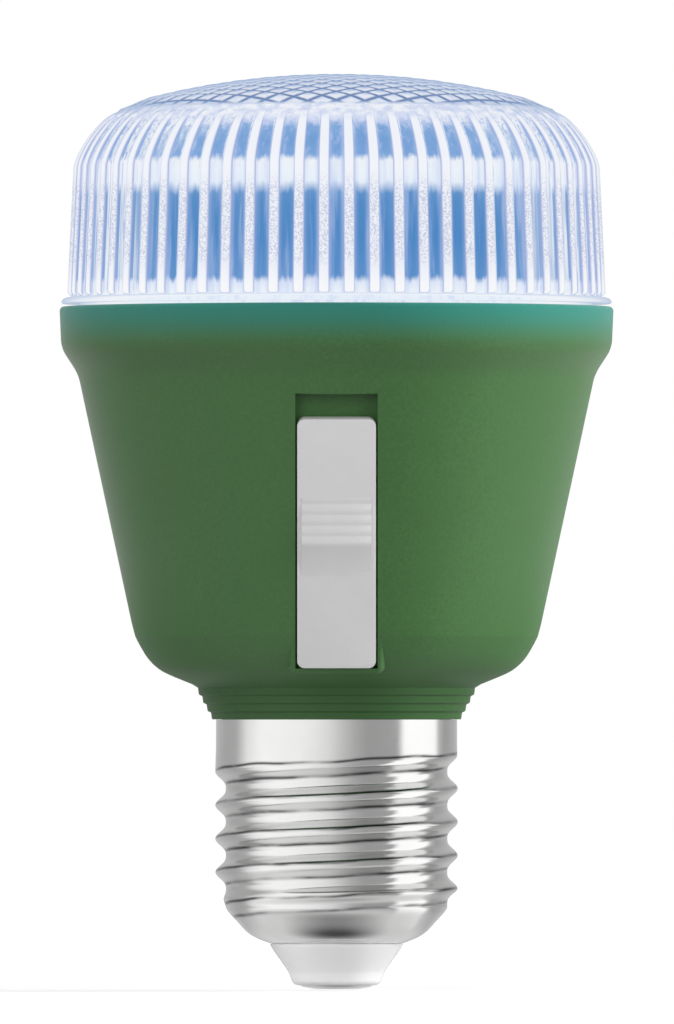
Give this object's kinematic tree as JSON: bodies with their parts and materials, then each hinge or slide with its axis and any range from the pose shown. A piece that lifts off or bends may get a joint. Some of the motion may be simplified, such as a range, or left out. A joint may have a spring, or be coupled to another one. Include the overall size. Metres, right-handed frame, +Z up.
{
  "type": "led grow light bulb",
  "caption": "LED plant lamp with a screw base, a tapered green body with a front slider switch, and a ribbed clear cover with a diamond-cell crown.",
  "frame": {"origin": "centre of the flat face of the centre contact, at the bottom of the bulb", "axes": "+Z up along the bulb's axis, from the contact to the crown; -Y towards the front, where the slider is; +X to the right"},
  "size_m": [0.06, 0.06, 0.0991],
  "materials": {
    "clear_lens": "clear moulded plastic, fluted and lit from inside",
    "green_housing": "fine-grained matt moulding",
    "grey_slider": "satin moulding",
    "nickel_shell": "rolled nickel-plated sheet",
    "pale_insulator": "smooth gloss",
    "contact_metal": "dull plated metal",
    "seal_rubber": "soft seal",
    "black_plastic": "moulded",
    "contact_brass": "stamped",
    "switch_plate": "pressed board",
    "green_board": "lacquered board",
    "spreader_metal": "pressed sheet",
    "white_board": "white lacquered board",
    "capacitor_sleeve": "shrink sleeve",
    "film_block": "dipped block",
    "ferrite_core": "pressed ferrite",
    "copper_coil": "wound enamelled wire",
    "resistor_body": "lacquered",
    "red_wire": "insulated wire",
    "black_wire": "insulated wire",
    "blue_led": "light-emitting package",
    "red_led": "light-emitting package"
  },
  "bodies": {
    "bulb": {"lens_cover": "clear_lens", "housing": "green_housing", "screw_shell": "nickel_shell", "base_insulator": "pale_insulator", "centre_contact": "contact_metal", "lens_gasket": "seal_rubber", "switch_case": "contact_metal", "switch_screw_1": "contact_metal", "switch_screw_2": "contact_metal", "board_screw_1": "contact_metal", "board_screw_2": "contact_metal", "board_screw_3": "contact_metal", "driver_chip": "black_plastic", "bridge_rectifier": "black_plastic", "switch_pin_1": "contact_brass", "switch_pin_2": "contact_brass", "switch_pin_3": "contact_brass", "switch_base": "switch_plate", "switch_board": "green_board", "driver_board": "green_board", "heat_spreader": "spreader_metal", "led_board": "white_board", "electrolytic_capacitor": "capacitor_sleeve", "film_capacitor": "film_block", "choke_core": "ferrite_core", "choke_coil": "copper_coil", "fusible_resistor": "resistor_body", "live_wire": "red_wire", "led_wire_plus": "red_wire", "switch_wire_2": "red_wire", "neutral_wire": "black_wire", "led_wire_minus": "black_wire", "switch_wire_1": "black_wire", "led_01": "blue_led", "led_02": "blue_led", "led_03": "blue_led", "led_04": "blue_led", "led_05": "red_led", "led_06": "blue_led", "led_07": "blue_led", "led_08": "blue_led", "led_09": "blue_led", "led_10": "red_led", "led_11": "blue_led", "led_12": "blue_led", "led_13": "blue_led", "led_14": "blue_led", "led_15": "red_led"},
    "slider": {"mode_slider": "grey_slider", "slider_clip": "contact_metal", "switch_knob": "black_plastic", "switch_wiper": "contact_brass"}
  },
  "joints": [
    {"name": "slider_slide", "type": "slide", "parent": "bulb", "child": "slider", "axis": [0, -0.2103, 0.9776], "range_m": [0, 0.0026]}
  ]
}
